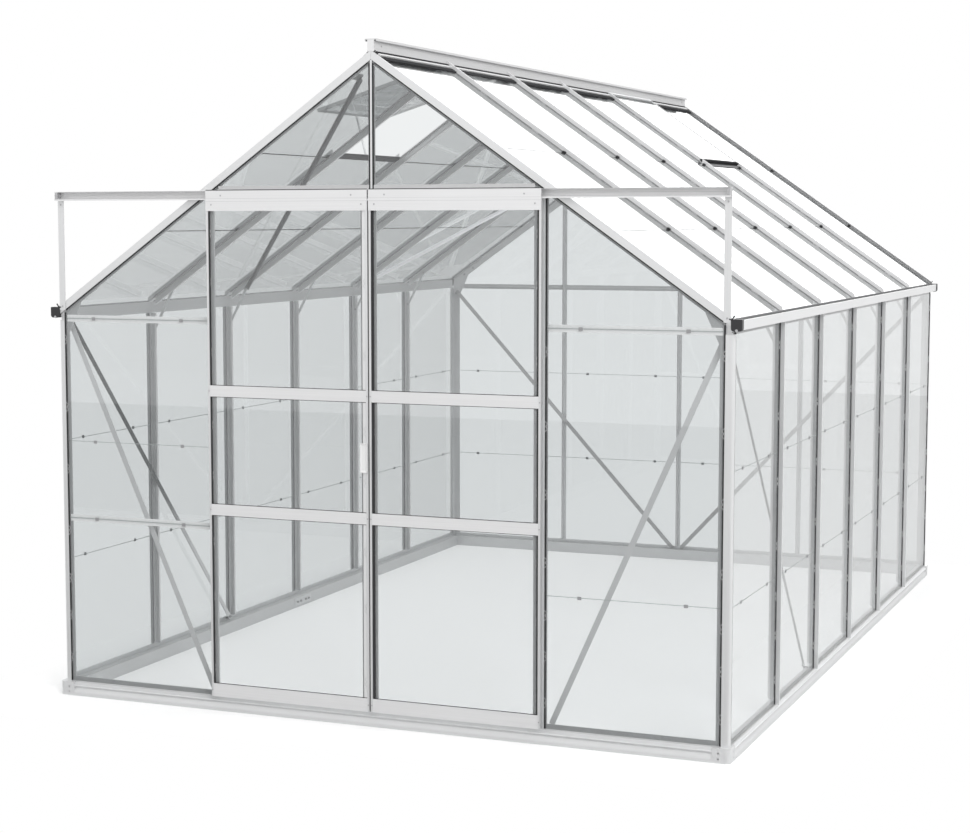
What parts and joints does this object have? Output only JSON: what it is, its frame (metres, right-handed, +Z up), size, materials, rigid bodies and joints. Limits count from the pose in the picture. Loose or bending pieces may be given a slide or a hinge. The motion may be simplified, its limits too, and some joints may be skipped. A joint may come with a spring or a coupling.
{
  "type": "glass greenhouse",
  "caption": "Free-standing glass greenhouse: metal glazing-bar frame on a low kerb, pitched glass roof with vents, and two sliding doors in the front gable.",
  "frame": {"origin": "On the ground, at the middle of the whole outline: on the centre line of the width, and midway between the door handle's face and the kerb's rear edge.", "axes": "+Z up, +Y from the sliding doors in the front gable towards the rear gable, +X to the right when facing the doors."},
  "size_m": [2.606, 3.855, 2.38],
  "materials": {
    "aluminium": "mill-finish extruded aluminium, satin",
    "kerb": "pale folded kerb metal, satin",
    "glass": "clear 3 mm horticultural glass",
    "black_plastic": "black moulded plastic",
    "white_plastic": "white moulded plastic"
  },
  "bodies": {
    "frame": {"kerb_front": "kerb", "kerb_rear": "kerb", "kerb_left": "kerb", "kerb_right": "kerb", "kerb_corners": "kerb", "kerb_splices": "aluminium", "sill_bars": "aluminium", "corner_posts": "aluminium", "left_wall_bars": "aluminium", "right_wall_bars": "aluminium", "front_posts": "aluminium", "front_cross_bars": "aluminium", "rear_posts": "aluminium", "rear_cross_bars": "aluminium", "gable_rafters": "aluminium", "ridge_beam": "aluminium", "left_roof_bars": "aluminium", "right_roof_bars": "aluminium", "eave_beams": "aluminium", "gutter_floors": "aluminium", "gutter_faces": "aluminium", "gutter_end_caps": "black_plastic", "gusset_plates": "aluminium", "knee_braces": "aluminium", "gable_braces": "aluminium", "side_wall_braces": "aluminium", "roof_braces": "aluminium", "door_rail": "aluminium", "rail_struts": "aluminium", "left_wall_glass": "glass", "right_wall_glass": "glass", "front_glass": "glass", "rear_glass": "glass", "left_roof_glass": "glass", "right_roof_glass": "glass", "vent_frames": "aluminium", "vent_glass": "glass", "vent_sills": "aluminium", "vent_stays": "aluminium"},
    "left_door": {"left_door_stiles": "aluminium", "left_door_rails": "aluminium", "left_door_header": "aluminium", "left_door_glass": "glass", "left_door_wheels": "black_plastic", "left_door_handle": "white_plastic"},
    "right_door": {"right_door_stiles": "aluminium", "right_door_rails": "aluminium", "right_door_header": "aluminium", "right_door_glass": "glass", "right_door_wheels": "black_plastic"}
  },
  "joints": [
    {"name": "left_door_slide", "type": "slide", "parent": "frame", "child": "left_door", "axis": [-1, 0, 0], "range_m": [0, 0.62]},
    {"name": "right_door_slide", "type": "slide", "parent": "frame", "child": "right_door", "axis": [1, 0, 0], "range_m": [0, 0.62]}
  ]
}
